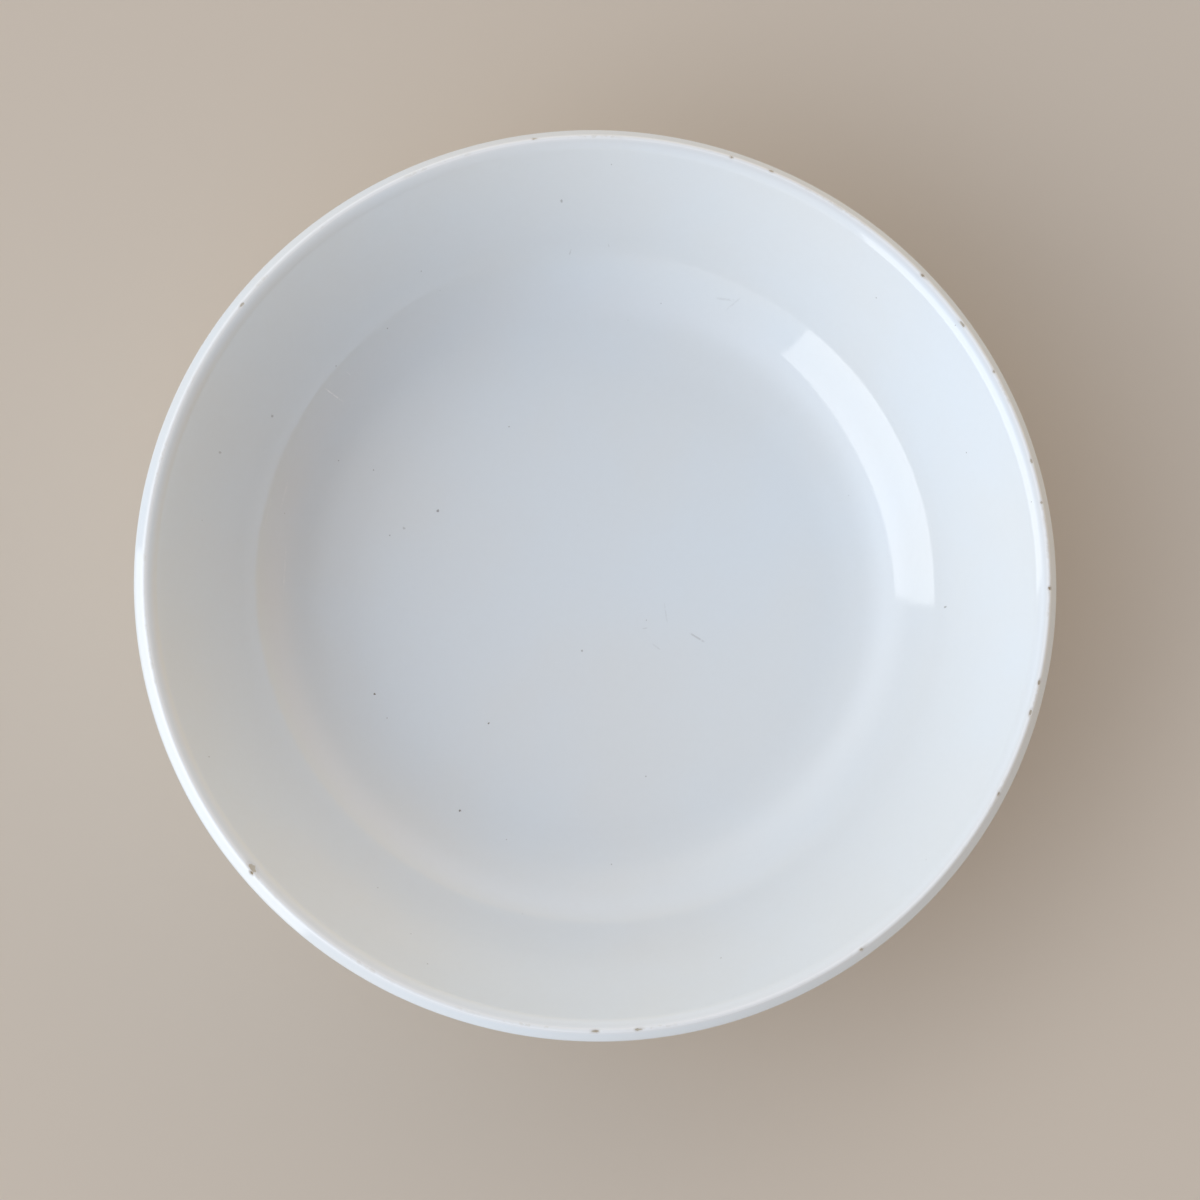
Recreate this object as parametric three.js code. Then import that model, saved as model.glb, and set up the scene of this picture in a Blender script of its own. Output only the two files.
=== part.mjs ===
// A round white ironstone serving bowl, 220 mm across, standing on a foot ring.
//
// Every piece is turned about the vertical Z axis. The origin is at the centre of the foot's
// contact face, +Z points up out of the bowl, and lengths are in millimetres.
//
// The glazed surface is worked out first. The clay lies inside it, one glaze thickness back.

import * as THREE from "three";

// Driving dimensions of the glazed bowl.
const RIM_RADIUS = 110; // outermost point of the lip
const CREST_RADIUS = 108; // highest point of the lip
const LIP_ROLL = 4.7; // rounding of the lip's inner side
const LIP_ROLL_END = 12; // slope at which that rounding meets the crest, degrees
const CREST_ROUND = 0.7; // rounding of the crest
const BEVEL_FALL = 50; // fall of the bevel outside the crest, degrees below level
const RIM_EDGE_ROUND = 1; // rounding of the outermost edge
const WALL_SLOPE = 55; // slope of the straight wall, degrees above level
const COVE_RADIUS = 40; // curve between the wall and the floor, on the inside
const WELL_RADIUS = 59.3; // where the curve ends and the floor begins
const WELL_SLOPE = 4; // slope of the floor at its edge, degrees
const RECESS_DEPTH = 3; // height of the underside above the table, at the centre

// Driving dimensions of the foot ring, before it is glazed.
const FOOT_RADIUS = 62; // outer face, carried down to the table
const FOOT_INNER_RADIUS = 55.6; // inner face, carried down to the table
const FOOT_DRAFT = 6; // lean of both faces, degrees from upright
const FOOT_EDGE_ROUND = 1; // rounding of the two lower edges
const FOOT_FILLET = 1.2; // curve of the glaze where the foot meets the bowl

// Glaze and the small clearances that keep the pieces apart.
const GLAZE_THICKNESS = 0.35;
const CLEARANCE = 0.05;
const GLAZE_END_HEIGHT = 1.3; // the glaze is wiped off the foot below this height

// Fineness of the turned surfaces.
const SIDES = 64;
const DISH_STEPS = 2;
const COVE_STEPS = 6;
const LIP_ROLL_STEPS = 3;
const CREST_STEPS = 3;
const RIM_EDGE_STEPS = 2;
const EDGE_STEPS = 2;
const FILLET_STEPS = 3;

const CLAY_INSET = GLAZE_THICKNESS + CLEARANCE;

const radians = (degrees) => THREE.MathUtils.degToRad(degrees);
const point = (radius, height) => new THREE.Vector2(radius, height);

// The direction at an angle from outward (0 degrees) towards up (90 degrees).
const direction = (degrees) => point(Math.cos(radians(degrees)), Math.sin(radians(degrees)));

// Points on an arc, both ends included.
function arc(centre, radius, fromDegrees, toDegrees, steps) {
  const points = [];
  for (let i = 0; i <= steps; i += 1) {
    const degrees = THREE.MathUtils.lerp(fromDegrees, toDegrees, i / steps);
    points.push(centre.clone().addScaledVector(direction(degrees), radius));
  }
  return points;
}

// The lip's section, drawn with its crest at height 0. Angles are those of the surface's normals.
const wallBackAngle = WALL_SLOPE + 90;
const rollEndAngle = LIP_ROLL_END + 90;
const bevelAngle = 90 - BEVEL_FALL;
const crestCentre = point(CREST_RADIUS, -CREST_ROUND);
const rollCentre = crestCentre.clone().addScaledVector(direction(rollEndAngle), CREST_ROUND - LIP_ROLL);
const rollStart = rollCentre.clone().addScaledVector(direction(wallBackAngle), LIP_ROLL);
const bevelTop = crestCentre.clone().addScaledVector(direction(bevelAngle), CREST_ROUND);
const edgeCentreRadius = RIM_RADIUS - RIM_EDGE_ROUND;
const bevelFootRadius = edgeCentreRadius + RIM_EDGE_ROUND * direction(bevelAngle).x;
const bevelFootHeight = bevelTop.y - (bevelFootRadius - bevelTop.x) * Math.tan(radians(BEVEL_FALL));
const edgeCentre = point(edgeCentreRadius, bevelFootHeight - RIM_EDGE_ROUND * direction(bevelAngle).y);

// Thickness of the straight wall, which follows from the lip that it carries.
const wallAngle = WALL_SLOPE - 90;
const WALL_THICKNESS =
  RIM_EDGE_ROUND + edgeCentre.clone().sub(rollStart).dot(direction(wallAngle));

// Centres of the arcs from the floor up, and the height that they give the crest.
const floorTop = RECESS_DEPTH + WALL_THICKNESS;
const dishRadius = WELL_RADIUS / Math.sin(radians(WELL_SLOPE));
const dishCentre = point(0, floorTop + dishRadius);
const wellAngle = WELL_SLOPE - 90;
const coveCentre = dishCentre.clone().addScaledVector(direction(wellAngle), dishRadius - COVE_RADIUS);
const wallFoot = coveCentre.clone().addScaledVector(direction(wallAngle), COVE_RADIUS);
const wallRise = (rollStart.x - wallFoot.x) * Math.tan(radians(WALL_SLOPE));
const crestHeight = wallFoot.y + wallRise - rollStart.y;
const lifted = (centre) => point(centre.x, centre.y + crestHeight);

// The inside, from the centre of the floor to the end of the lip's roll, set back by an inset.
function insideLine(inset) {
  return [
    ...arc(dishCentre, dishRadius + inset, -90, wellAngle, DISH_STEPS),
    ...arc(coveCentre, COVE_RADIUS + inset, wellAngle, wallAngle, COVE_STEPS).slice(1),
    ...arc(lifted(rollCentre), LIP_ROLL - inset, wallBackAngle, rollEndAngle, LIP_ROLL_STEPS),
  ];
}

// The outside, from the crest down to an angle on the outer cove, set back by an inset.
function outsideLine(inset, endAngle) {
  const crest = lifted(crestCentre);
  const edge = lifted(edgeCentre);
  return [
    ...arc(crest, CREST_ROUND - inset, rollEndAngle, 90, 1).slice(1),
    ...arc(crest, CREST_ROUND - inset, 90, bevelAngle, CREST_STEPS).slice(1),
    ...arc(edge, RIM_EDGE_ROUND - inset, bevelAngle, 0, RIM_EDGE_STEPS),
    ...arc(edge, RIM_EDGE_ROUND - inset, 0, wallAngle, RIM_EDGE_STEPS).slice(1),
    ...arc(coveCentre, COVE_RADIUS + WALL_THICKNESS - inset, wallAngle, endAngle, COVE_STEPS),
  ];
}

// A face of the foot: its place at the table, its direction upwards and its side away from the clay.
const footOuterFace = {
  base: point(FOOT_RADIUS, 0),
  up: direction(90 - FOOT_DRAFT),
  away: direction(-FOOT_DRAFT),
};
const footInnerFace = {
  base: point(FOOT_INNER_RADIUS, 0),
  up: direction(90 + FOOT_DRAFT),
  away: direction(180 + FOOT_DRAFT),
};

// The point on a foot face, set off from the clay, at a height.
function onFace(face, offset, height) {
  const start = face.base.clone().addScaledVector(face.away, offset);
  return start.addScaledVector(face.up, (height - start.y) / face.up.y);
}

// Where a foot face, set off from the clay, first meets a circle above it.
function meetsCircle(face, offset, centre, radius) {
  const start = face.base.clone().addScaledVector(face.away, offset);
  const toCentre = centre.clone().sub(start);
  const along = toCentre.dot(face.up);
  const across = toCentre.lengthSq() - along * along;
  return start.addScaledVector(face.up, along - Math.sqrt(radius * radius - across));
}

// The angle at which a point lies, seen from a centre.
function angleFrom(centre, target) {
  return THREE.MathUtils.radToDeg(Math.atan2(target.y - centre.y, target.x - centre.x));
}

// The curve that joins a foot face to a round surface above it, as points from the face upwards.
function fillet(face, offset, centre, radius, fromDegrees) {
  const middle = meetsCircle(face, offset + FOOT_FILLET, centre, radius + FOOT_FILLET);
  const touch = angleFrom(centre, middle);
  const turn = ((touch + 180 - fromDegrees + 540) % 360) - 180;
  return {
    touch,
    points: arc(middle, FOOT_FILLET, fromDegrees, fromDegrees + turn, FILLET_STEPS),
  };
}

// The underside of the clay shell is a second dish and cove, one wall thickness outside the inner ones.
const underDishRadius = dishRadius + WALL_THICKNESS;
const outerCoveRadius = COVE_RADIUS + WALL_THICKNESS;
const footMouthInner = meetsCircle(footInnerFace, 0, dishCentre, underDishRadius - CLAY_INSET);
const footMouthOuter = meetsCircle(footOuterFace, 0, coveCentre, outerCoveRadius - CLAY_INSET);
const footInnerAngle = angleFrom(dishCentre, footMouthInner);
const footOuterAngle = angleFrom(coveCentre, footMouthOuter);

// The clay shell: inside, lip, outside and underside.
function bowlBodyOutline() {
  return [
    ...insideLine(CLAY_INSET),
    ...outsideLine(CLAY_INSET, footOuterAngle),
    ...arc(dishCentre, underDishRadius - CLAY_INSET, wellAngle, footInnerAngle, 1),
    ...arc(dishCentre, underDishRadius - CLAY_INSET, footInnerAngle, -90, DISH_STEPS).slice(1),
  ];
}

// The foot ring, with a flat contact face and two rounded edges under it. Its top follows the shell.
function footRingOutline() {
  const top = [
    ...arc(dishCentre, underDishRadius - CLAY_INSET + CLEARANCE, footInnerAngle, wellAngle, 1),
    ...arc(coveCentre, outerCoveRadius - CLAY_INSET + CLEARANCE, wellAngle, footOuterAngle, 1).slice(1),
  ];
  const outerEdge = onFace(footOuterFace, -FOOT_EDGE_ROUND, FOOT_EDGE_ROUND);
  const innerEdge = onFace(footInnerFace, -FOOT_EDGE_ROUND, FOOT_EDGE_ROUND);
  return [
    ...top,
    ...arc(outerEdge, FOOT_EDGE_ROUND, -FOOT_DRAFT, -90, EDGE_STEPS),
    ...arc(innerEdge, FOOT_EDGE_ROUND, -90, -180 + FOOT_DRAFT, EDGE_STEPS),
    top[0].clone(),
  ];
}

// The main glaze: a skin over the inside, the lip, the outside and the foot's outer face.
function glazeCoatOutline() {
  const corner = fillet(footOuterFace, CLAY_INSET, coveCentre, outerCoveRadius, 180 - FOOT_DRAFT);
  const backCorner = meetsCircle(footOuterFace, CLEARANCE, coveCentre, outerCoveRadius - GLAZE_THICKNESS);
  const backTouch = angleFrom(coveCentre, backCorner);
  return [
    ...insideLine(0),
    ...outsideLine(0, corner.touch).slice(0, -1),
    ...corner.points.slice().reverse(),
    onFace(footOuterFace, CLAY_INSET, GLAZE_END_HEIGHT),
    onFace(footOuterFace, CLEARANCE, GLAZE_END_HEIGHT),
    ...outsideLine(GLAZE_THICKNESS, backTouch).reverse(),
    ...insideLine(GLAZE_THICKNESS).reverse(),
  ];
}

// The glaze inside the foot: a skin over the underside and the foot's inner face.
function baseGlazeOutline() {
  const corner = fillet(footInnerFace, CLAY_INSET, dishCentre, underDishRadius, FOOT_DRAFT);
  const backCorner = meetsCircle(footInnerFace, CLEARANCE, dishCentre, underDishRadius - GLAZE_THICKNESS);
  const backTouch = angleFrom(dishCentre, backCorner);
  return [
    ...arc(dishCentre, underDishRadius - GLAZE_THICKNESS, -90, backTouch, DISH_STEPS),
    onFace(footInnerFace, CLEARANCE, GLAZE_END_HEIGHT),
    onFace(footInnerFace, CLAY_INSET, GLAZE_END_HEIGHT),
    ...corner.points,
    ...arc(dishCentre, underDishRadius, corner.touch, -90, DISH_STEPS).slice(1),
  ];
}

// A solid turned from an outline about the vertical axis.
function turned(name, outline, material) {
  const onAxis = outline.map((place) => (Math.abs(place.x) < 1e-6 ? point(0, place.y) : place));
  const geometry = new THREE.LatheGeometry(onAxis.reverse(), SIDES);
  geometry.rotateX(Math.PI / 2);
  const mesh = new THREE.Mesh(geometry, material);
  mesh.name = name;
  return mesh;
}

const clay = new THREE.MeshStandardMaterial({ color: 0xd9d2c3, roughness: 0.85, metalness: 0 });
const whiteGlaze = new THREE.MeshStandardMaterial({ color: 0xe6e8e8, roughness: 0.12, metalness: 0 });

const bowl = new THREE.Group();
bowl.add(turned("bowl_body", bowlBodyOutline(), clay));
bowl.add(turned("foot_ring", footRingOutline(), clay));
bowl.add(turned("glaze_coat", glazeCoatOutline(), whiteGlaze));
bowl.add(turned("base_glaze", baseGlazeOutline(), whiteGlaze));

export default bowl;
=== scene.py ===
import math

import bmesh
import bpy
import numpy as np
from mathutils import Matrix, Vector, noise


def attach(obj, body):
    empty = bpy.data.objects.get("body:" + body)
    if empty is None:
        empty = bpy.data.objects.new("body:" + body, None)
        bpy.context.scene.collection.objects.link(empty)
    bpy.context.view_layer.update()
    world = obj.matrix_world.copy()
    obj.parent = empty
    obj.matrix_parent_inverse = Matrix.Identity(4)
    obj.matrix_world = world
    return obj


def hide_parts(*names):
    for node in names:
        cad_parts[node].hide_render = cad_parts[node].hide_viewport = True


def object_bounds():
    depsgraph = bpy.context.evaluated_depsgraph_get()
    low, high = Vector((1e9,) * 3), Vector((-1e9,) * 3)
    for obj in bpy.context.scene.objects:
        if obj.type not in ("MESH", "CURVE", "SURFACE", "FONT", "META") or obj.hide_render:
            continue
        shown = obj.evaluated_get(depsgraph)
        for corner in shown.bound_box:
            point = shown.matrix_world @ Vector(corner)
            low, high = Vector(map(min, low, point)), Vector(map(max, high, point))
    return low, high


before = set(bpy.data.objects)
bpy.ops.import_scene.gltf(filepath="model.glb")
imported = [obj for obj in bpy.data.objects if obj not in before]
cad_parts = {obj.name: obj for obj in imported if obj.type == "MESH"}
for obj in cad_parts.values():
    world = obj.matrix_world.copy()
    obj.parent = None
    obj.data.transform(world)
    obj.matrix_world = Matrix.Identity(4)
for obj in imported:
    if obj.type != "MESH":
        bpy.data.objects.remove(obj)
cad_low, cad_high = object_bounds()

MM = 0.001

# ------------------------------------------------------------------ dimensions
# The section of the bowl, in millimetres and degrees, as the CAD model has it.

RIM_RADIUS = cad_high.x / MM
RIM_HEIGHT = cad_high.z / MM
CREST_RADIUS = RIM_RADIUS - 2.0
LIP_ROLL = 4.7
LIP_ROLL_END = 12
CREST_ROUND = 0.7
BEVEL_FALL = 50
EDGE_ROUND = 1.0
WALL_SLOPE = 55
COVE_RADIUS = 40
WELL_RADIUS = 59.3
WELL_SLOPE = 4
FOOT_RADIUS = 62
FOOT_INNER_RADIUS = 55.6
FOOT_DRAFT = 6
FOOT_EDGE_ROUND = 1.0
FOOT_FILLET = 1.2
GLAZE = 0.35
CLEARANCE = 0.05
CLAY_INSET = GLAZE + CLEARANCE
GLAZE_END = 1.3

# Points round each turned piece.
GLAZE_SIDES = 460
BASE_SIDES = 360
FOOT_SIDES = 480
CLAY_SIDES = 288
SHARPEST_SMOOTH_EDGE = 40  # an edge that turns by more degrees than this is shaded as a corner

# How the old bowl differs from a true turning.
OVAL = 0.37  # the rim is this much longer and shorter than its mean radius
OVAL_ANGLE = 139  # where the long axis points
OVAL_SHRINK = 0.4  # the mean radius is smaller by this share of OVAL
WARP_START = FOOT_RADIUS + 4  # the bowl is true inside this radius
RIM_WAVE = 0.15  # the rim dips by up to twice this
CREST_SHIFT = 0.53  # the crest of the lip stands this much further in, on average
CREST_OFFSET = 0.38  # and up to this much more, or less, on one side or the other
CREST_OFFSET_ANGLE = 200  # where it stands furthest in
CREST_SHIFT_BELOW = 2  # the lip moves in whole down to this far below the rim
CREST_SHIFT_END = 25  # and the inside wall leans in with it, less and less, down to this far
CREST_SHIFT_SKIN = (0.6, 3.2)  # depths behind the outside wall where the move begins and is whole
TURNING_RINGS = 0.005  # height of the rings that the forming tool left
TURNING_RINGS_START = (3, 12)  # they begin and are whole at these radii
SOFT_UNDULATION = 0.03
BROAD_BUMPS = 38
NARROW_BUMPS = 11
NOISE_STEPS = (17.3, 5.1, 9.7)  # how far apart two seeds are in the noise
WELL_RING_RADIUS = 66
WELL_RING_HEIGHT = 0.05
WELL_RING_WIDTH = 1.8
CENTRE_MARK_RADIUS = 5
CENTRE_MARK_DEPTH = 0.03

EDGE_WAVE = 0.5  # how far the wiped edge of the glaze on the foot rises and falls
EDGE_WAVE_LIFT = 0.4  # it stands higher by this share of that
EDGE_WAVE_REACH = 2.2  # and the glaze moves with it up to this far above

# Sums of sine waves: how often each repeats, its phase and its share. The first two go round
# the bowl, and the last runs outwards from its axis, with a number of radians for each millimetre.
RIM_WAVES = [(2, 0.7, 0.6), (3, 2.1, 0.4)]
EDGE_WAVES = [(5, 1.0, 0.35), (13, 0.0, 0.25), (29, 2.0, 0.2)]
RING_WAVES = [(0.93, 0.0, 1.0), (0.57, 1.0, 0.6)]

# Chips on the lip: place round the rim in degrees, place across it in millimetres outside the
# crest, length and depth in millimetres, and how brown the dirt in it is.
CHIPS = [
    (142.5, -0.2, 1.5, 0.12, 0.25),
    (221.1, -0.6, 2.8, 0.08, 0.35),
    (221.5, 0.3, 1.2, 0.24, 1.0),
    (270.2, 0.1, 1.2, 0.16, 0.7),
    (275.3, 0.1, 1.1, 0.14, 0.5),
    (358.0, 0.2, 0.8, 0.14, 0.9),
    (346.0, 0.2, 1.4, 0.18, 0.6),
    (342.0, 0.0, 1.6, 0.18, 0.5),
    (331.0, 0.3, 0.9, 0.12, 0.5),
    (72.0, 0.2, 0.9, 0.12, 0.5),
    (66.5, 0.4, 1.2, 0.12, 0.4),
    (42.5, 0.1, 1.0, 0.15, 0.8),
    (34.2, -0.1, 1.2, 0.15, 0.5),
    (27.0, 0.1, 0.9, 0.12, 0.3),
    (14.5, 0.2, 1.0, 0.12, 0.3),
    (9.0, 0.1, 0.8, 0.12, 0.3),
    (98.0, 0.5, 0.8, 0.12, 0.4),
    (305.0, 0.4, 0.9, 0.12, 0.5),
]

CHIP_CUTS = 3  # how often the edges near a chip are split
CHIP_MARGIN = 1.2  # how far round it they are
CHIP_REACH = 1.0  # how far round it the lip can be moved or stained
CHIP_WIDTH = 0.36  # its width across the lip, as a share of its length
CHIP_LEAST_WIDTH = 0.55
CHIP_HALF = 1.4  # half its width is its width over this
CHIP_RAGGED = 0.45
CHIP_RAGGED_BUMPS = 0.5
CHIP_EDGE = (0.65, 1.05)  # shares of its size between which it rises to the lip
CHIP_HALO = (0.8, 2.0)  # and between which the dirt fades

FACING_UP = 0.3  # the surface faces up where its normal rises by more than this
FORMED_BELOW_RIM = 0.8  # the marks of forming keep this far below the rim
FORMED_END = (CREST_RADIUS - 6, CREST_RADIUS - 2)  # and fade between these radii
CREST_BAND = (0.25, 1.1)  # distances from the crest between which its painted highlight, wear and dullness fade
SCRATCHED_END = (58, 84)  # radii between which the cutlery marks fade
BASE_UNDULATION = 0.02
BASE_BUMPS = 22
FOOT_WEAR = 0.03
FOOT_WEAR_BUMPS = (3.0, 11)
FOOT_WEAR_FROM = 0.02  # heights on the foot between which the clay is uneven
FOOT_WEAR_TO = 2.5
CONTACT_BAND = (0.1, 0.6)  # heights on the foot between which the rubbing fades

GLAZE_IOR = 1.7  # a lead glaze

# Dark specks in the glaze: place round the bowl in degrees, distance from its axis and size
# in millimetres, and strength.
SPECKS = [
    (151, 46, 0.45, 0.55),
    (160, 52, 0.40, 0.25),
    (204, 61, 0.30, 0.9),
    (230, 42, 0.28, 0.8),
    (238, 64, 0.26, 0.8),
    (152, 91, 0.40, 0.35),
    (161, 97, 0.35, 0.3),
    (357, 87, 0.25, 0.5),
    (256, 14, 0.28, 0.4),
    (95, 96, 0.30, 0.4),
]

# Scratches and scuffs inside: from and to, each as a place round the bowl and a distance from
# its axis, then width and strength. Pale ones have scattered light, dark ones hold dirt.
PALE_SCRATCHES = [
    (143.0, 85.6, 142.6, 80.4, 0.45, 0.55),
    (138.3, 84.4, 138.3, 83.0, 0.35, 0.30),
    (171.0, 78.9, 180.2, 78.5, 0.40, 0.30),
    (159.8, 82.4, 165.2, 82.0, 0.45, 0.22),
    (163.5, 84.6, 169.0, 84.4, 0.30, 0.15),
]
DARK_SCRATCHES = [
    (339.4, 25.6, 337.6, 30.2, 0.55, 0.22),
    (356.7, 17.6, 340.0, 19.5, 0.40, 0.09),
    (320.9, 18.7, 321.1, 21.3, 0.45, 0.10),
    (326.0, 14.2, 330.0, 15.4, 0.40, 0.12),
    (64.5, 82.8, 68.0, 81.6, 0.60, 0.10),
    (63.8, 84.0, 65.4, 80.0, 0.50, 0.08),
    (94.4, 86.0, 94.0, 87.2, 0.35, 0.20),
    (87.7, 87.4, 87.9, 88.4, 0.30, 0.15),
]


# ------------------------------------------------------------------ the section


def direction(degrees):
    """The unit vector at an angle from outward (0) towards up (90)."""
    return np.array([math.cos(math.radians(degrees)), math.sin(math.radians(degrees))])


def arc(centre, radius, start, end, spacing):
    """Points on an arc, both ends included, about spacing millimetres apart."""
    length = abs(math.radians(end - start)) * radius
    steps = max(1, math.ceil(length / spacing))
    return [centre + radius * direction(a) for a in np.linspace(start, end, steps + 1)]


def line(start, end, spacing):
    """Points on a straight line after its start, about spacing millimetres apart."""
    steps = max(1, math.ceil(np.linalg.norm(end - start) / spacing))
    return [start + (end - start) * t for t in np.linspace(0, 1, steps + 1)[1:]]


class Section:
    """Centres and angles of the arcs that make the bowl's section."""

    def __init__(self):
        self.wall = WALL_SLOPE - 90
        self.well = WELL_SLOPE - 90
        self.wall_back = WALL_SLOPE + 90
        self.roll_end = LIP_ROLL_END + 90
        self.bevel = 90 - BEVEL_FALL
        self.crest = np.array([CREST_RADIUS, RIM_HEIGHT - CREST_ROUND])
        self.roll = self.crest + (CREST_ROUND - LIP_ROLL) * direction(self.roll_end)
        roll_start = self.roll + LIP_ROLL * direction(self.wall_back)
        bevel_top = self.crest + CREST_ROUND * direction(self.bevel)
        edge_radius = RIM_RADIUS - EDGE_ROUND
        bevel_run = edge_radius + EDGE_ROUND * direction(self.bevel)[0] - bevel_top[0]
        bevel_foot = bevel_top[1] - bevel_run * math.tan(math.radians(BEVEL_FALL))
        self.edge = np.array([edge_radius, bevel_foot - EDGE_ROUND * direction(self.bevel)[1]])
        self.wall_thickness = EDGE_ROUND + (self.edge - roll_start) @ direction(self.wall)
        self.dish_radius = WELL_RADIUS / math.sin(math.radians(WELL_SLOPE))
        cove_x = WELL_RADIUS - COVE_RADIUS * math.sin(math.radians(WELL_SLOPE))
        wall_foot_x = cove_x + COVE_RADIUS * direction(self.wall)[0]
        wall_rise = (roll_start[0] - wall_foot_x) * math.tan(math.radians(WALL_SLOPE))
        cove_z = roll_start[1] - wall_rise - COVE_RADIUS * direction(self.wall)[1]
        self.cove = np.array([cove_x, cove_z])
        self.dish = self.cove - (self.dish_radius - COVE_RADIUS) * direction(self.well)
        self.dish[0] = 0.0
        self.outer_cove_radius = COVE_RADIUS + self.wall_thickness
        self.under_dish_radius = self.dish_radius + self.wall_thickness

    def inside(self, inset, floor, cove, wall, lip):
        """From the centre of the floor to the end of the lip's roll, at four spacings."""
        points = arc(self.dish, self.dish_radius + inset, -90, self.well, floor)
        points += arc(self.cove, COVE_RADIUS + inset, self.well, self.wall, cove)[1:]
        roll = arc(self.roll, LIP_ROLL - inset, self.wall_back, self.roll_end, lip)
        return points + line(points[-1], roll[0], wall) + roll[1:]

    def lip_height(self, radius):
        """Height of the glazed surface at a radius near the lip, seen from above."""
        top = self.inside(0, floor=10, cove=10, wall=10, lip=0.1)
        top += arc(self.crest, CREST_ROUND, self.roll_end, self.bevel, 0.1)
        top += arc(self.edge, EDGE_ROUND, self.bevel, 0, 0.1)
        radii, heights = np.array(top).T
        return np.interp(radius, radii, heights)

    def outside(self, inset, end_angle, wall, lip):
        """From the crest of the lip down to an angle on the outer cove, at two spacings."""
        points = arc(self.crest, CREST_ROUND - inset, self.roll_end, self.bevel, lip)[1:]
        edge = arc(self.edge, EDGE_ROUND - inset, self.bevel, self.wall, lip)
        points += line(points[-1], edge[0], lip) + edge[1:]
        cove = arc(self.cove, self.outer_cove_radius - inset, self.wall, end_angle, wall)
        return points + line(points[-1], cove[0], wall) + cove[1:]


SECTION = Section()


class FootFace:
    """One leaning face of the foot ring. side is 1 for the outer face and -1 for the inner one."""

    def __init__(self, radius, side):
        self.base = np.array([radius, 0.0])
        self.up = direction(90 - side * FOOT_DRAFT)
        self.away = side * direction(-side * FOOT_DRAFT)

    def at(self, offset, height):
        """The point set off from the clay by offset, at a height."""
        start = self.base + offset * self.away
        return start + self.up * (height - start[1]) / self.up[1]

    def meets(self, offset, centre, radius):
        """Where the face, set off from the clay, first meets a circle above it."""
        start = self.base + offset * self.away
        along = (centre - start) @ self.up
        across = (centre - start) @ (centre - start) - along * along
        return start + self.up * (along - math.sqrt(radius * radius - across))


OUTER_FACE = FootFace(FOOT_RADIUS, 1)
INNER_FACE = FootFace(FOOT_INNER_RADIUS, -1)


def angle_from(centre, target):
    """The angle in degrees at which target lies, seen from centre."""
    return math.degrees(math.atan2(target[1] - centre[1], target[0] - centre[0]))


def fillet(face, offset, centre, radius, start):
    """The curve from a foot face to a round surface above it, and the angle where they touch."""
    middle = face.meets(offset + FOOT_FILLET, centre, radius + FOOT_FILLET)
    touch = angle_from(centre, middle)
    turn = (touch + 180 - start + 540) % 360 - 180
    return touch, arc(middle, FOOT_FILLET, start, start + turn, 0.3)


def glaze_coat_outline():
    """The glaze from the floor over the lip to the foot, front first and then back."""
    touch, corner = fillet(
        OUTER_FACE, CLAY_INSET, SECTION.cove, SECTION.outer_cove_radius, 180 - FOOT_DRAFT
    )
    back_radius = SECTION.outer_cove_radius - GLAZE
    back_corner = OUTER_FACE.meets(CLEARANCE, SECTION.cove, back_radius)
    back_touch = angle_from(SECTION.cove, back_corner)
    front = SECTION.inside(0, floor=2.4, cove=0.9, wall=1.4, lip=0.22)
    front += SECTION.outside(0, touch, wall=2.4, lip=0.18)[:-1]
    front += corner[::-1]
    front += line(front[-1], OUTER_FACE.at(CLAY_INSET, GLAZE_END), 0.8)
    back = [OUTER_FACE.at(CLEARANCE, GLAZE_END)]
    back += SECTION.outside(GLAZE, back_touch, wall=9, lip=0.8)[::-1]
    back += SECTION.inside(GLAZE, floor=12, cove=6, wall=9, lip=1.2)[::-1]
    return front, back


def base_glaze_outline():
    """The glaze inside the foot, front first and then back."""
    touch, corner = fillet(
        INNER_FACE, CLAY_INSET, SECTION.dish, SECTION.under_dish_radius, FOOT_DRAFT
    )
    back_radius = SECTION.under_dish_radius - GLAZE
    back_corner = INNER_FACE.meets(CLEARANCE, SECTION.dish, back_radius)
    back_touch = angle_from(SECTION.dish, back_corner)
    front = line(INNER_FACE.at(CLAY_INSET, GLAZE_END), corner[0], 0.8)
    front = [INNER_FACE.at(CLAY_INSET, GLAZE_END)] + front + corner[1:]
    front += arc(SECTION.dish, SECTION.under_dish_radius, touch, -90, 2)[1:]
    back = arc(SECTION.dish, back_radius, -90, back_touch, 12)
    back += [INNER_FACE.at(CLEARANCE, GLAZE_END)]
    return front, back


def clay_angles():
    """Angles on the underside's two arcs where the foot's faces meet it, and the arcs' radii."""
    dish_radius = SECTION.under_dish_radius - CLAY_INSET
    cove_radius = SECTION.outer_cove_radius - CLAY_INSET
    inner = angle_from(SECTION.dish, INNER_FACE.meets(0, SECTION.dish, dish_radius))
    outer = angle_from(SECTION.cove, OUTER_FACE.meets(0, SECTION.cove, cove_radius))
    return inner, outer, dish_radius, cove_radius


def bowl_body_outline():
    """The clay shell: inside, lip, outside and underside."""
    _, outer, dish_radius, cove_radius = clay_angles()
    points = SECTION.inside(CLAY_INSET, floor=6, cove=3, wall=3, lip=0.6)
    points += SECTION.outside(CLAY_INSET, outer, wall=3, lip=0.4)
    points += arc(SECTION.cove, cove_radius, outer, SECTION.well, 3)[1:]
    points += arc(SECTION.dish, dish_radius, SECTION.well, -90, 6)[1:]
    return points


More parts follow.
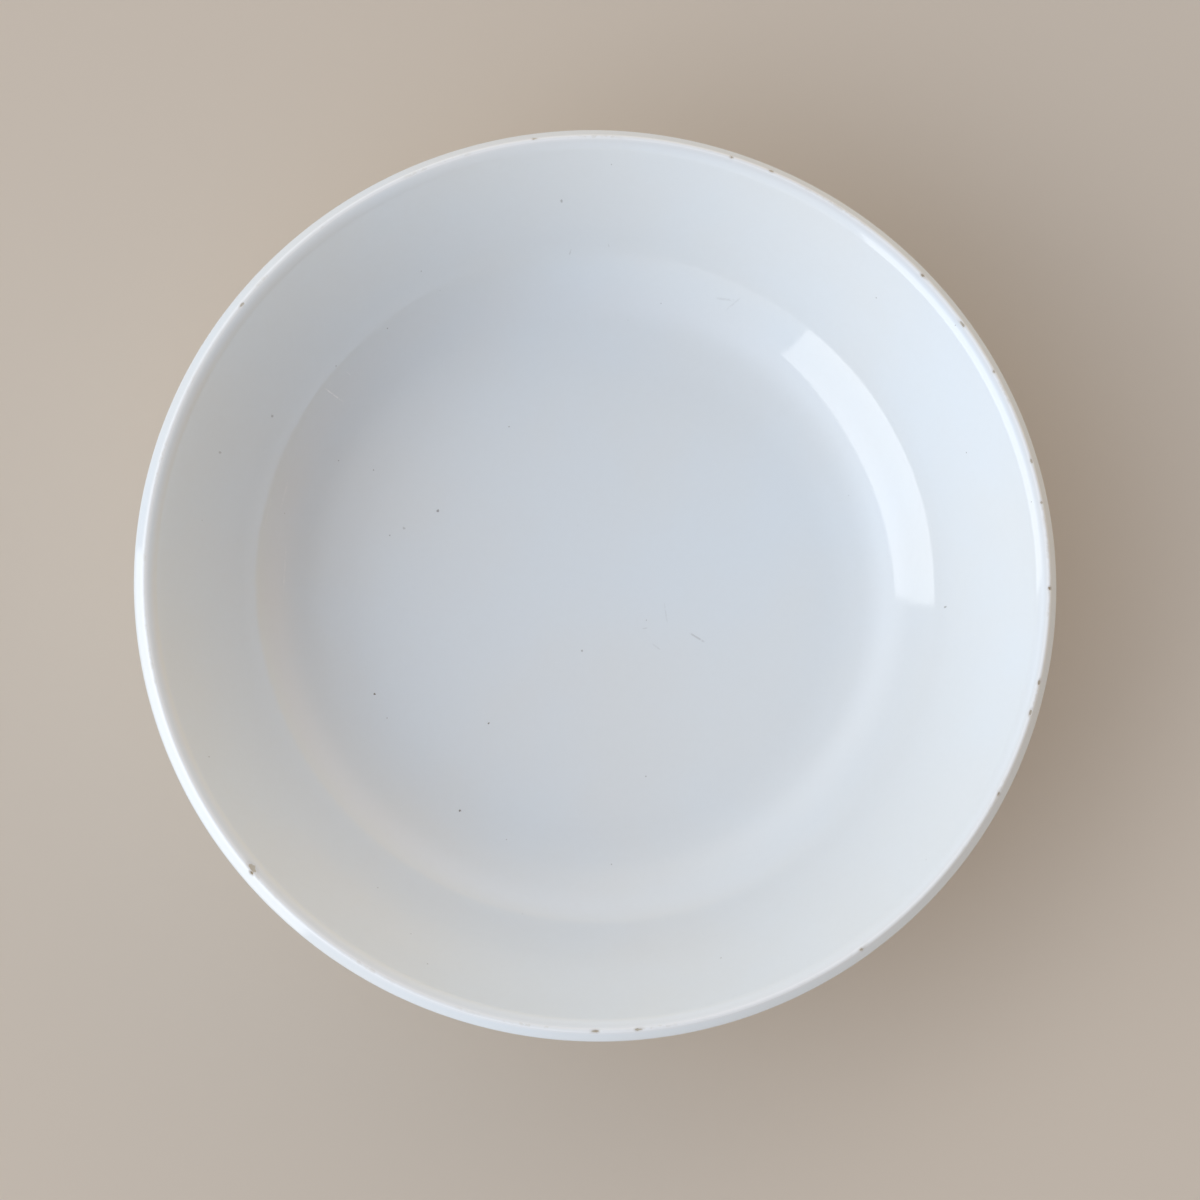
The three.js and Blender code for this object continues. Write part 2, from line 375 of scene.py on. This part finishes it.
def foot_ring_outline():
    """The foot ring: its top against the shell, two leaning faces and a flat contact face."""
    inner, outer, dish_radius, cove_radius = clay_angles()
    top = arc(SECTION.dish, dish_radius + CLEARANCE, inner, SECTION.well, 3)
    top += arc(SECTION.cove, cove_radius + CLEARANCE, SECTION.well, outer, 3)[1:]
    outer_edge = OUTER_FACE.at(-FOOT_EDGE_ROUND, FOOT_EDGE_ROUND)
    inner_edge = INNER_FACE.at(-FOOT_EDGE_ROUND, FOOT_EDGE_ROUND)
    outer_round = arc(outer_edge, FOOT_EDGE_ROUND, -FOOT_DRAFT, -90, 0.25)
    inner_round = arc(inner_edge, FOOT_EDGE_ROUND, -90, -180 + FOOT_DRAFT, 0.25)
    points = top + line(top[-1], outer_round[0], 0.7) + outer_round[1:]
    points += line(outer_round[-1], inner_round[0], 0.6) + inner_round[1:]
    return points + line(inner_round[-1], top[0], 0.7)[:-1]


# ------------------------------------------------------------------ meshes


def smooth_step(value, low, high):
    """0 below low, 1 above high, and a smooth rise between them."""
    t = np.clip((value - low) / (high - low), 0, 1)
    return t * t * (3 - 2 * t)


def waves(place, terms):
    """A sum of sine waves at each place."""
    return sum(share * np.sin(rate * place + phase) for rate, phase, share in terms)


def turned(name, outline, sides, closed):
    """A mesh turned from an outline. An open outline starts and ends on the axis."""
    outline = np.array(outline)
    angles = np.arange(sides) * 2 * math.pi / sides
    rings = outline if closed else outline[1:-1]
    co = np.empty((len(rings), sides, 3))
    co[:, :, 0] = rings[:, :1] * np.cos(angles)
    co[:, :, 1] = rings[:, :1] * np.sin(angles)
    co[:, :, 2] = rings[:, 1:]
    vertices = co.reshape(-1, 3)
    count = len(rings)
    row = np.arange(count if closed else count - 1)
    side = np.arange(sides)
    here, there = row[:, None] * sides, ((row + 1) % count)[:, None] * sides
    after = (side + 1) % sides
    quads = np.stack([here + side, here + after, there + after, there + side], axis=-1)
    faces = quads.reshape(-1, 4).tolist()
    if not closed:
        first, last = len(vertices), len(vertices) + 1
        ends = np.array([[0, 0, outline[0, 1]], [0, 0, outline[-1, 1]]])
        vertices = np.concatenate([vertices, ends])
        top = (count - 1) * sides
        faces += [[first, int(b), int(a)] for a, b in zip(side, after)]
        faces += [[last, int(a) + top, int(b) + top] for a, b in zip(side, after)]
    mesh = bpy.data.meshes.new(name)
    mesh.from_pydata((vertices * MM).tolist(), [], faces)
    mesh.validate()
    piece = bpy.data.objects.new(name, mesh)
    bpy.context.scene.collection.objects.link(piece)
    return piece


def coordinates(piece):
    """The vertices of a mesh as an array, in millimetres."""
    co = np.empty(len(piece.data.vertices) * 3)
    piece.data.vertices.foreach_get("co", co)
    return co.reshape(-1, 3) / MM


def set_coordinates(piece, co):
    """Puts an array of places in millimetres into a mesh."""
    piece.data.vertices.foreach_set("co", (co * MM).ravel())
    piece.data.update()


def normals(piece):
    """The vertex normals of a mesh as an array."""
    found = np.empty(len(piece.data.vertices) * 3)
    piece.data.vertex_normals.foreach_get("vector", found)
    return found.reshape(-1, 3)


def store(piece, name, values):
    """Keeps one number for each vertex, for a material to read."""
    attribute = piece.data.attributes.new(name, "FLOAT", "POINT")
    attribute.data.foreach_set("value", np.ascontiguousarray(values, np.float32))


def face_outwards(piece):
    """Turns every face to the outside and splits the shading only at real corners."""
    work = bmesh.new()
    work.from_mesh(piece.data)
    bmesh.ops.recalc_face_normals(work, faces=work.faces)
    work.to_mesh(piece.data)
    work.free()
    piece.data.polygons.foreach_set("use_smooth", [True] * len(piece.data.polygons))
    piece.data.set_sharp_from_angle(angle=math.radians(SHARPEST_SMOOTH_EDGE))


def leaned_in(co):
    """Moves the crest of the lip and the wall inside it inwards, and leaves the outside alone."""
    radius = np.hypot(co[:, 0], co[:, 1])
    angle = np.arctan2(co[:, 1], co[:, 0])
    outward = direction(SECTION.wall)
    face = SECTION.edge + EDGE_ROUND * outward
    depth = (face[0] - radius) * outward[0] + (face[1] - co[:, 2]) * outward[1]
    share = smooth_step(depth, *CREST_SHIFT_SKIN)
    share *= smooth_step(co[:, 2], RIM_HEIGHT - CREST_SHIFT_END, RIM_HEIGHT - CREST_SHIFT_BELOW)
    shift = CREST_SHIFT + CREST_OFFSET * np.cos(angle - math.radians(CREST_OFFSET_ANGLE))
    moved = co.copy()
    moved[:, :2] *= (1 - shift * share / np.maximum(radius, 1))[:, None]
    return moved


def warped(co):
    """The old bowl's shape: slightly oval at the rim, which also waves a little."""
    co = leaned_in(co)
    radius = np.hypot(co[:, 0], co[:, 1])
    angle = np.arctan2(co[:, 1], co[:, 0])
    share = smooth_step(radius, WARP_START, RIM_RADIUS)
    growth = OVAL * (np.cos(2 * (angle - math.radians(OVAL_ANGLE))) - OVAL_SHRINK) * share
    moved = co.copy()
    moved[:, :2] *= (1 + growth / np.maximum(radius, 1))[:, None]
    moved[:, 2] += RIM_WAVE * (waves(angle, RIM_WAVES) - 1) * share
    return moved


def soft_noise(co, size, seed):
    """Smooth noise from -1 to 1, with bumps of about size millimetres."""
    shift = Vector([seed * step for step in NOISE_STEPS])
    return np.array([noise.noise(Vector(p) / size + shift) for p in co])


def formed_inside(co):
    """Height that forming left inside: turning rings, a ring round the well and a centre mark."""
    radius = np.hypot(co[:, 0], co[:, 1])
    share = smooth_step(radius, *TURNING_RINGS_START)
    height = TURNING_RINGS * waves(radius, RING_WAVES) * share
    from_ring = (radius - WELL_RING_RADIUS) / WELL_RING_WIDTH
    height += WELL_RING_HEIGHT * np.exp(-(from_ring**2))
    height -= CENTRE_MARK_DEPTH * (1 - smooth_step(radius, 0, CENTRE_MARK_RADIUS))
    return height


def chip_places():
    """Centre of each chip in millimetres, on the true lip."""
    places = []
    for degrees, across, *_ in CHIPS:
        radius = CREST_RADIUS + across
        x, y = radius * direction(degrees)
        places.append(Vector((x, y, SECTION.lip_height(radius))))
    return places


def refine_at_chips(piece):
    """Splits the faces around each chip, so that it has a shape of its own."""
    co = coordinates(piece)
    near = np.zeros(len(co), bool)
    for place, chip in zip(chip_places(), CHIPS):
        length = chip[2]
        near |= np.linalg.norm(co - np.array(place), axis=1) < length / 2 + CHIP_MARGIN
    work = bmesh.new()
    work.from_mesh(piece.data)
    edges = [edge for edge in work.edges if all(near[v.index] for v in edge.verts)]
    bmesh.ops.subdivide_edges(work, edges=edges, cuts=CHIP_CUTS, use_grid_fill=True)
    work.to_mesh(piece.data)
    work.free()


def chip_away(piece):
    """Sinks each chip into the lip, and marks how far each vertex is in a chip and how dirty."""
    co = coordinates(piece)
    out = normals(piece)
    depth_here = np.zeros(len(co))
    chipped = np.zeros(len(co))
    dirty = np.zeros(len(co))
    for place, (degrees, _, length, depth, dirt) in zip(chip_places(), CHIPS):
        offset = co - np.array(place)
        near = np.linalg.norm(offset, axis=1) < length + CHIP_REACH
        along_x, along_y = direction(degrees + 90)
        along = offset[near, 0] * along_x + offset[near, 1] * along_y
        sideways = offset[near] - along[:, None] * np.array([along_x, along_y, 0])
        width = max(CHIP_LEAST_WIDTH, CHIP_WIDTH * length)
        aside = np.linalg.norm(sideways, axis=1)
        far = np.hypot(along / (length / 2), aside / (width / CHIP_HALF))
        ragged = 1 + CHIP_RAGGED * soft_noise(co[near], CHIP_RAGGED_BUMPS, degrees)
        inside = 1 - smooth_step(far * ragged, *CHIP_EDGE)
        depth_here[near] = np.maximum(depth_here[near], depth * inside)
        chipped[near] = np.maximum(chipped[near], inside)
        halo = 1 - smooth_step(far, *CHIP_HALO)
        dirty[near] = np.maximum(dirty[near], dirt * halo)
    set_coordinates(piece, co - out * depth_here[:, None])
    store(piece, "chip", chipped)
    store(piece, "dirt", dirty)


def make_glaze_coat():
    """The visible glaze: inside, lip, outside and the foot's outer face."""
    front, back = glaze_coat_outline()
    piece = turned("glaze_coat_surface", front + back, GLAZE_SIDES, closed=False)
    face_outwards(piece)
    refine_at_chips(piece)
    co = coordinates(piece)
    radius = np.hypot(co[:, 0], co[:, 1])
    out = normals(piece)
    up_inside = (out[:, 2] > FACING_UP) & (radius < CREST_RADIUS)
    from_crest = np.hypot(radius - CREST_RADIUS, co[:, 2] - RIM_HEIGHT)
    front_side = up_inside & (co[:, 2] < RIM_HEIGHT - FORMED_BELOW_RIM)
    height = np.zeros(len(co))
    height[front_side] = formed_inside(co[front_side])
    height *= 1 - smooth_step(radius, *FORMED_END)
    uneven = soft_noise(co, BROAD_BUMPS, 1) - 1 + 0.5 * (soft_noise(co, NARROW_BUMPS, 2) - 1)
    height += SOFT_UNDULATION * uneven * (co[:, 2] > GLAZE_END)
    store(piece, "crest", 1 - smooth_step(from_crest, *CREST_BAND))
    store(piece, "inside", up_inside)
    store(piece, "floor", up_inside * (1 - smooth_step(radius, *SCRATCHED_END)))
    set_coordinates(piece, wavy_edge(co + out * height[:, None]))
    chip_away(piece)
    set_coordinates(piece, warped(coordinates(piece)))
    return piece


def wavy_edge(co):
    """Lets the edge of a glaze rise and fall where it was wiped off the foot by hand."""
    angle = np.arctan2(co[:, 1], co[:, 0])
    share = 1 - smooth_step(co[:, 2], GLAZE_END, GLAZE_END + EDGE_WAVE_REACH)
    moved = co.copy()
    moved[:, 2] += EDGE_WAVE * (waves(angle, EDGE_WAVES) + EDGE_WAVE_LIFT) * share
    return moved


def make_base_glaze():
    """The glaze on the underside, inside the foot."""
    front, back = base_glaze_outline()
    piece = turned("base_glaze_surface", back + front, BASE_SIDES, closed=False)
    face_outwards(piece)
    co = coordinates(piece)
    height = BASE_UNDULATION * soft_noise(co, BASE_BUMPS, 3)
    set_coordinates(piece, wavy_edge(co + normals(piece) * height[:, None]))
    return piece


def make_foot_ring():
    """The bare clay ring that the bowl stands on."""
    piece = turned("foot_ring_clay", foot_ring_outline(), FOOT_SIDES, closed=True)
    face_outwards(piece)
    co = coordinates(piece)
    fine, broad = FOOT_WEAR_BUMPS
    worn = FOOT_WEAR * soft_noise(co, fine, 5) + FOOT_WEAR * soft_noise(co, broad, 6)
    lower = (co[:, 2] > FOOT_WEAR_FROM) & (co[:, 2] < FOOT_WEAR_TO)
    store(piece, "contact", 1 - smooth_step(co[:, 2], *CONTACT_BAND))
    set_coordinates(piece, co - normals(piece) * (np.abs(worn) * lower)[:, None])
    return piece


def make_bowl_body():
    """The clay shell under the glaze."""
    piece = turned("bowl_body_clay", bowl_body_outline(), CLAY_SIDES, closed=False)
    face_outwards(piece)
    set_coordinates(piece, warped(coordinates(piece)))
    return piece


# ------------------------------------------------------------------ materials


class Nodes:
    """Puts a node tree together with short calls."""

    def __init__(self, tree):
        self.tree = tree

    def add(self, kind, **settings):
        """Makes a node and sets its own properties."""
        node = self.tree.nodes.new(kind)
        for key, value in settings.items():
            setattr(node, key, value)
        return node

    def feed(self, socket, value):
        """Links an output to a socket, or sets the socket to a plain value."""
        if isinstance(value, bpy.types.NodeSocket):
            self.tree.links.new(value, socket)
        else:
            socket.default_value = value

    def math(self, operation, *values):
        """A Math node."""
        node = self.add("ShaderNodeMath", operation=operation)
        for socket, value in zip(node.inputs, values):
            self.feed(socket, value)
        return node.outputs[0]

    def vector(self, operation, *values):
        """A Vector Math node."""
        node = self.add("ShaderNodeVectorMath", operation=operation)
        for socket, value in zip(node.inputs, values):
            self.feed(socket, value)
        return node.outputs["Value" if operation == "DISTANCE" else "Vector"]

    def scaled(self, vector, amount):
        """A vector times a number."""
        node = self.add("ShaderNodeVectorMath", operation="SCALE")
        node.inputs[0].default_value = vector
        self.feed(node.inputs["Scale"], amount)
        return node.outputs["Vector"]

    def split(self, vector):
        """The three parts of a vector."""
        node = self.add("ShaderNodeSeparateXYZ")
        self.feed(node.inputs[0], vector)
        return node.outputs

    def step(self, value, low, high, to_low=0.0, to_high=1.0):
        """A smooth rise from to_low to to_high as value goes from low to high."""
        node = self.add("ShaderNodeMapRange", interpolation_type="SMOOTHSTEP")
        for socket, setting in zip(node.inputs, (value, low, high, to_low, to_high)):
            self.feed(socket, setting)
        return node.outputs[0]

    def mix(self, factor, first, second):
        """A colour between first and second."""
        node = self.add("ShaderNodeMix", data_type="RGBA")
        self.feed(node.inputs[0], factor)
        self.feed(node.inputs[6], first)
        self.feed(node.inputs[7], second)
        return node.outputs[2]


class Surface(Nodes):
    """A material that is put together around one Principled shader."""

    def __init__(self, name):
        self.material = bpy.data.materials.new(name)
        self.material.use_nodes = True
        super().__init__(self.material.node_tree)
        self.shader = self.tree.nodes["Principled BSDF"]
        self.place = self.add("ShaderNodeTexCoord").outputs["Object"]
        self.flat_place = self.vector("MULTIPLY", self.place, (1, 1, 0))

    def noise(self, per_metre, detail=2.0, stretch=None, turn=0.0):
        """Noise from 0 to 1. stretch scales the axes, and turn then picks other noise for them."""
        place = self.place
        if stretch:
            mapping = self.add("ShaderNodeMapping")
            self.feed(mapping.inputs["Vector"], place)
            mapping.inputs["Rotation"].default_value = (0, 0, math.radians(turn))
            mapping.inputs["Scale"].default_value = stretch
            place = mapping.outputs[0]
        node = self.add("ShaderNodeTexNoise")
        self.feed(node.inputs["Vector"], place)
        node.inputs["Scale"].default_value = per_metre
        node.inputs["Detail"].default_value = detail
        return node.outputs["Fac"]

    def cells(self, per_metre):
        """Distance to the nearest of many scattered points, and a random number for each point."""
        node = self.add("ShaderNodeTexVoronoi")
        self.feed(node.inputs["Vector"], self.place)
        node.inputs["Scale"].default_value = per_metre
        return node.outputs["Distance"], self.split(node.outputs["Color"])[0]

    def stored(self, name):
        """A number kept on each vertex."""
        return self.add("ShaderNodeAttribute", attribute_name=name).outputs["Fac"]

    def bump(self, height, distance, normal=None):
        """Relief from a height of 0 to 1 that stands for distance metres."""
        node = self.add("ShaderNodeBump")
        node.inputs["Distance"].default_value = distance
        self.feed(node.inputs["Height"], height)
        if normal is not None:
            self.feed(node.inputs["Normal"], normal)
        return node.outputs[0]


def scattered_specks(surface, per_metre, keep, radius):
    """A mask of small dots at some of the scattered points. radius is in millimetres."""
    distance, chance = surface.cells(per_metre)
    size = radius * MM * per_metre
    dot = surface.step(distance, size * 0.5, size, 1.0, 0.0)
    return surface.math("MULTIPLY", dot, surface.math("GREATER_THAN", chance, 1 - keep))


def placed_specks(surface):
    """A mask of the larger specks, each at its own place inside the bowl."""
    wobble = surface.math("MULTIPLY", surface.noise(2600, 1.0), 0.5 * MM)
    total = 0.0
    for degrees, radius, size, strength in SPECKS:
        x, y = radius * MM * direction(degrees)
        distance = surface.vector("DISTANCE", surface.flat_place, (x, y, 0))
        distance = surface.math("ADD", distance, wobble)
        middle = (0.25 + size / 2) * MM
        dot = surface.step(distance, middle, middle + 0.22 * MM, strength, 0.0)
        total = surface.math("MAXIMUM", dot, total)
    return total


def strokes(surface, marks):
    """A mask of short strokes inside the bowl, soft at their ends."""
    ragged = surface.step(surface.noise(1400, 2.0), 0.3, 0.6)
    total = 0.0
    for start_angle, start_radius, end_angle, end_radius, width, strength in marks:
        start = start_radius * MM * direction(start_angle)
        run = end_radius * MM * direction(end_angle) - start
        length = float(np.hypot(*run))
        mapping = surface.add("ShaderNodeMapping", vector_type="TEXTURE")
        surface.feed(mapping.inputs["Vector"], surface.flat_place)
        mapping.inputs["Location"].default_value = (*start, 0)
        mapping.inputs["Rotation"].default_value = (0, 0, math.atan2(run[1], run[0]))
        along, across, _ = surface.split(mapping.outputs[0])
        across = surface.math("ABSOLUTE", across)
        from_middle = surface.math("ABSOLUTE", surface.math("SUBTRACT", along, length / 2))
        line = surface.step(across, 0.2 * width * MM, 0.6 * width * MM, strength, 0.0)
        ends = surface.step(from_middle, length * 0.25, length * 0.55, 1.0, 0.0)
        total = surface.math("MAXIMUM", surface.math("MULTIPLY", line, ends), total)
    return surface.math("MULTIPLY", total, ragged)


def fine_scratches(surface):
    """A mask of hair-thin cutlery marks that run from front to back."""
    total = 0.0
    for turn, fineness in ((20, 1.0), (75, 1.3), (140, 0.8)):
        streak = surface.noise(fineness, 2.0, stretch=(2200, 45, 45), turn=turn)
        total = surface.math("MAXIMUM", surface.step(streak, 0.66, 0.72), total)
    return total


def glaze_white(surface):
    """The glaze's own colour: a cool white with creamier patches and a fine mottle."""
    white = (0.802, 0.844, 0.876, 1)
    cream = (0.812, 0.830, 0.834, 1)
    greyer = (0.70, 0.70, 0.69, 1)
    patches = surface.step(surface.noise(16, 3.0), 0.35, 0.7)
    colour = surface.mix(patches, white, cream)
    mottle = surface.step(surface.noise(700, 3.0), 0.2, 0.8, 0.0, 0.05)
    return surface.mix(mottle, colour, greyer)


def marked(surface, colour, inside, pale):
    """The colour with iron specks in it, and with dark and pale scratches inside the bowl."""
    brown = (0.105, 0.070, 0.045, 1)
    bright = (1, 1, 1, 1)
    tiny = scattered_specks(surface, 230, 0.14, 0.22)
    tiny = surface.math("MULTIPLY", tiny, 0.45)
    placed = surface.math("MULTIPLY", placed_specks(surface), inside)
    dark = surface.math("MULTIPLY", strokes(surface, DARK_SCRATCHES), inside)
    colour = surface.mix(surface.math("MAXIMUM", tiny, placed), colour, brown)
    colour = surface.mix(dark, colour, brown)
    return surface.mix(pale, colour, bright)


def worn_lip_and_painted_highlight(surface, colour, crest, worn):
    """The colour with a painted highlight on the crest, bare where it is worn, and with chips and
    their dirt.
    """
    painted_crest_highlight = (0.94, 0.94, 0.94, 1)
    bare = (0.66, 0.62, 0.54, 1)
    stain = (0.36, 0.28, 0.18, 1)
    # Painted highlight: the crest is mixed towards near-white, as light catches the rounded lip.
    colour = surface.mix(surface.math("MULTIPLY", crest, 0.8), colour, painted_crest_highlight)
    colour = surface.mix(surface.math("MULTIPLY", worn, 0.3), colour, bare)
    dirt = surface.math("MULTIPLY", surface.stored("dirt"), surface.noise(1200, 2.0))
    colour = surface.mix(dirt, colour, stain)
    chip_colour = surface.mix(surface.stored("dirt"), bare, stain)
    chipped = surface.step(surface.stored("chip"), 0.3, 0.7)
    return surface.mix(chipped, colour, chip_colour)


def glaze_roughness(surface, shares):
    """A glossy glaze that is duller by a share of each mark in the list."""
    rough = surface.step(surface.noise(40, 3.0), 0.3, 0.75, 0.035, 0.075)
    for mark, share in shares:
        rough = surface.math("ADD", rough, surface.math("MULTIPLY", mark, share))
    return rough


def glaze_relief(surface, scratches):
    """Fine unevenness, with the scratches cut into it."""
    relief = surface.bump(surface.noise(260, 2.0), 0.010 * MM)
    relief = surface.bump(surface.math("SUBTRACT", 1.0, scratches), 0.002 * MM, relief)
    return surface.bump(surface.noise(3000, 2.0), 0.002 * MM, relief)


def glaze_material():
    """Old glossy white glaze, cool and uneven, with specks, a worn lip with a painted highlight on
    its crest, chips and scratches.
    """
    surface = Surface("white_glaze")
    inside = surface.math("GREATER_THAN", surface.stored("inside"), 0.5)
    pale = surface.math("MULTIPLY", strokes(surface, PALE_SCRATCHES), inside)
    crest = surface.stored("crest")
    worn = surface.step(surface.math("ADD", crest, surface.noise(700, 5.0)), 1.46, 1.60)
    worn = surface.math("MULTIPLY", worn, surface.step(surface.noise(60, 2.0), 0.48, 0.62))
    scratches = surface.math("MULTIPLY", fine_scratches(surface), surface.stored("floor"))

    colour = marked(surface, glaze_white(surface), inside, pale)
    colour = worn_lip_and_painted_highlight(surface, colour, crest, worn)
    rough = glaze_roughness(
        surface,
        [(scratches, 0.10), (pale, 0.5), (crest, 0.28), (worn, 0.2), (surface.stored("chip"), 0.6)],
    )
    surface.shader.inputs["IOR"].default_value = GLAZE_IOR
    surface.feed(surface.shader.inputs["Base Color"], colour)
    surface.feed(surface.shader.inputs["Roughness"], rough)
    surface.feed(surface.shader.inputs["Normal"], glaze_relief(surface, scratches))
    return surface.material


def biscuit_material():
    """Bare fired clay: dry, fine-grained, and greyed where it rubs on shelves."""
    surface = Surface("biscuit")
    clay = (0.66, 0.60, 0.50, 1)
    pale = (0.74, 0.70, 0.62, 1)
    dull = (0.50, 0.44, 0.36, 1)
    grey = (0.30, 0.28, 0.25, 1)
    brown = (0.20, 0.14, 0.09, 1)
    colour = surface.mix(surface.step(surface.noise(60, 4.0), 0.3, 0.7), clay, pale)
    grain = surface.step(surface.noise(2600, 2.0), 0.35, 0.75, 0.0, 0.35)
    colour = surface.mix(grain, colour, dull)
    rub = surface.math("MULTIPLY", surface.noise(220, 4.0), surface.stored("contact"))
    colour = surface.mix(surface.step(rub, 0.42, 0.7, 0.0, 0.75), colour, grey)
    colour = surface.mix(scattered_specks(surface, 420, 0.2, 0.25), colour, brown)
    surface.feed(surface.shader.inputs["Base Color"], colour)
    rough = surface.step(surface.noise(900, 3.0), 0.2, 0.8, 0.72, 0.92)
    surface.feed(surface.shader.inputs["Roughness"], rough)
    relief = surface.bump(surface.noise(1500, 4.0), 0.05 * MM)
    surface.feed(surface.shader.inputs["Normal"], relief)
    return surface.material


def floor_material():
    """A plain pale beige surface for the bowl to stand on."""
    surface = Surface("plain_floor")
    surface.shader.inputs["Base Color"].default_value = FLOOR_COLOUR
    surface.shader.inputs["Roughness"].default_value = FLOOR_ROUGHNESS
    surface.shader.inputs["Specular IOR Level"].default_value = FLOOR_SHINE
    return surface.material


# ------------------------------------------------------------------ the set

CAMERA_BACK = 0.0865  # the camera stands this far towards -Y from the bowl's axis
CAMERA_SIDE = 0.0012
CAMERA_ABOVE_RIM = 0.5683
CAMERA_TILT = 8.0
CAMERA_LENS = 72.68
CAMERA_SENSOR = 36.0
NEAREST_SEEN = 0.01

WINDOW_ANGLE = 197.5  # the window's direction round the bowl, in degrees
WINDOW_SPREAD = 57
WINDOW_LOW = 2
WINDOW_HIGH = 43
WINDOW_DISTANCE = 2.0
WINDOW_POWER = 20.5
WINDOW_COLOUR = (0.95, 0.95, 0.94)

# The light of the room, in bands from the horizon up. Each band has the sines of elevation
# between which it fades into the next, and the directions that its light comes from.
ROOM_WALLS = [
    (
        (0.10, 0.40),
        [(90, (0.62, 0.66, 0.69)), (35, (0.80, 0.55, 0.10)), (235, (1.02, 1.02, 1.02))],
    ),
    (
        (0.40, 0.70),
        [(90, (0.93, 1.08, 1.25)), (35, (0.60, 0.28, 0.00)), (235, (0.98, 1.10, 1.24))],
    ),
    (
        (0.70, 0.95),
        [(90, (0.84, 0.76, 0.66)), (180, (1.15, 1.32, 1.54)), (255, (0.57, 0.60, 0.70))],
    ),
]
ROOM_CEILING = (0.46, 0.48, 0.52)
ROOM_SPREAD = 3.0  # a higher number keeps each direction's light more to itself
BACKDROP = (0.80, 0.79, 0.77)

FLOOR_RADIUS = 6.0
FLOOR_CORNERS = 128
FLOOR_COLOUR = (0.65, 0.565, 0.475, 1)
FLOOR_ROUGHNESS = 0.9
FLOOR_SHINE = 0.2


def make_camera():
    """The camera, almost straight above the bowl."""
    data = bpy.data.cameras.new("camera")
    data.sensor_width = CAMERA_SENSOR
    data.lens = CAMERA_LENS
    data.clip_start = NEAREST_SEEN
    camera = bpy.data.objects.new("camera", data)
    camera.location = (CAMERA_SIDE, -CAMERA_BACK, RIM_HEIGHT * MM + CAMERA_ABOVE_RIM)
    camera.rotation_euler = (math.radians(CAMERA_TILT), 0, 0)
    bpy.context.scene.collection.objects.link(camera)
    bpy.context.scene.camera = camera


def make_floor():
    """A wide plain disc under the bowl."""
    work = bmesh.new()
    bmesh.ops.create_circle(work, cap_ends=True, segments=FLOOR_CORNERS, radius=FLOOR_RADIUS)
    mesh = bpy.data.meshes.new("floor")
    work.to_mesh(mesh)
    work.free()
    floor = bpy.data.objects.new("floor", mesh)
    floor.data.materials.append(floor_material())
    bpy.context.scene.collection.objects.link(floor)


def make_window():
    """A large soft light at one side, like a window."""
    low = WINDOW_DISTANCE * math.tan(math.radians(WINDOW_LOW))
    high = WINDOW_DISTANCE * math.tan(math.radians(WINDOW_HIGH))
    data = bpy.data.lights.new("window", "AREA")
    data.shape = "RECTANGLE"
    data.size = 2 * WINDOW_DISTANCE * math.tan(math.radians(WINDOW_SPREAD / 2))
    data.size_y = high - low
    data.energy = WINDOW_POWER
    data.color = WINDOW_COLOUR
    light = bpy.data.objects.new("window", data)
    x, y = WINDOW_DISTANCE * direction(WINDOW_ANGLE)
    light.location = (x, y, RIM_HEIGHT * MM + (low + high) / 2)
    light.rotation_euler = Vector((x, y, 0)).to_track_quat("Z", "Y").to_euler()
    bpy.context.scene.collection.objects.link(light)


def make_room():
    """Soft light from all round: three bands of walls and a ceiling, behind a plain backdrop."""
    world = bpy.data.worlds.new("room")
    world.use_nodes = True
    room = Nodes(world.node_tree)
    toward = room.add("ShaderNodeTexCoord").outputs["Generated"]
    height = room.split(toward)[2]
    level = room.vector("NORMALIZE", room.vector("MULTIPLY", toward, (1, 1, 0)))
    total = (0, 0, 0)
    below = 1.0
    for (low, high), sides in ROOM_WALLS:
        above = room.step(height, low, high)
        band = room.math("SUBTRACT", below, above)
        for degrees, colour in sides:
            x, y = direction(degrees)
            facing = room.add("ShaderNodeVectorMath", operation="DOT_PRODUCT")
            room.feed(facing.inputs[0], level)
            facing.inputs[1].default_value = (x, y, 0)
            near = room.math("MULTIPLY_ADD", facing.outputs["Value"], 0.5, 0.5)
            share = room.math("MULTIPLY", band, room.math("POWER", near, ROOM_SPREAD))
            total = room.vector("ADD", total, room.scaled(colour, share))
        below = above
    total = room.vector("ADD", total, room.scaled(ROOM_CEILING, below))
    seen = room.add("ShaderNodeLightPath").outputs["Is Camera Ray"]
    background = room.tree.nodes["Background"]
    room.feed(background.inputs["Color"], room.mix(seen, total, (*BACKDROP, 1)))
    bpy.context.scene.world = world


# ------------------------------------------------------------------ putting it together


def finish_piece(piece, material, node):
    """Gives a piece its material and its body, and hides the CAD part that it stands for."""
    piece.data.materials.append(material)
    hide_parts(node)
    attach(piece, "root")


make_camera()
make_floor()
make_window()
make_room()

glaze = glaze_material()
biscuit = biscuit_material()
glaze_coat = make_glaze_coat()
base_glaze = make_base_glaze()
foot_ring = make_foot_ring()
bowl_body = make_bowl_body()
finish_piece(glaze_coat, glaze, "glaze_coat")
finish_piece(base_glaze, glaze, "base_glaze")
finish_piece(foot_ring, biscuit, "foot_ring")
finish_piece(bowl_body, biscuit, "bowl_body")

bpy.context.scene.view_settings.view_transform = "Standard"
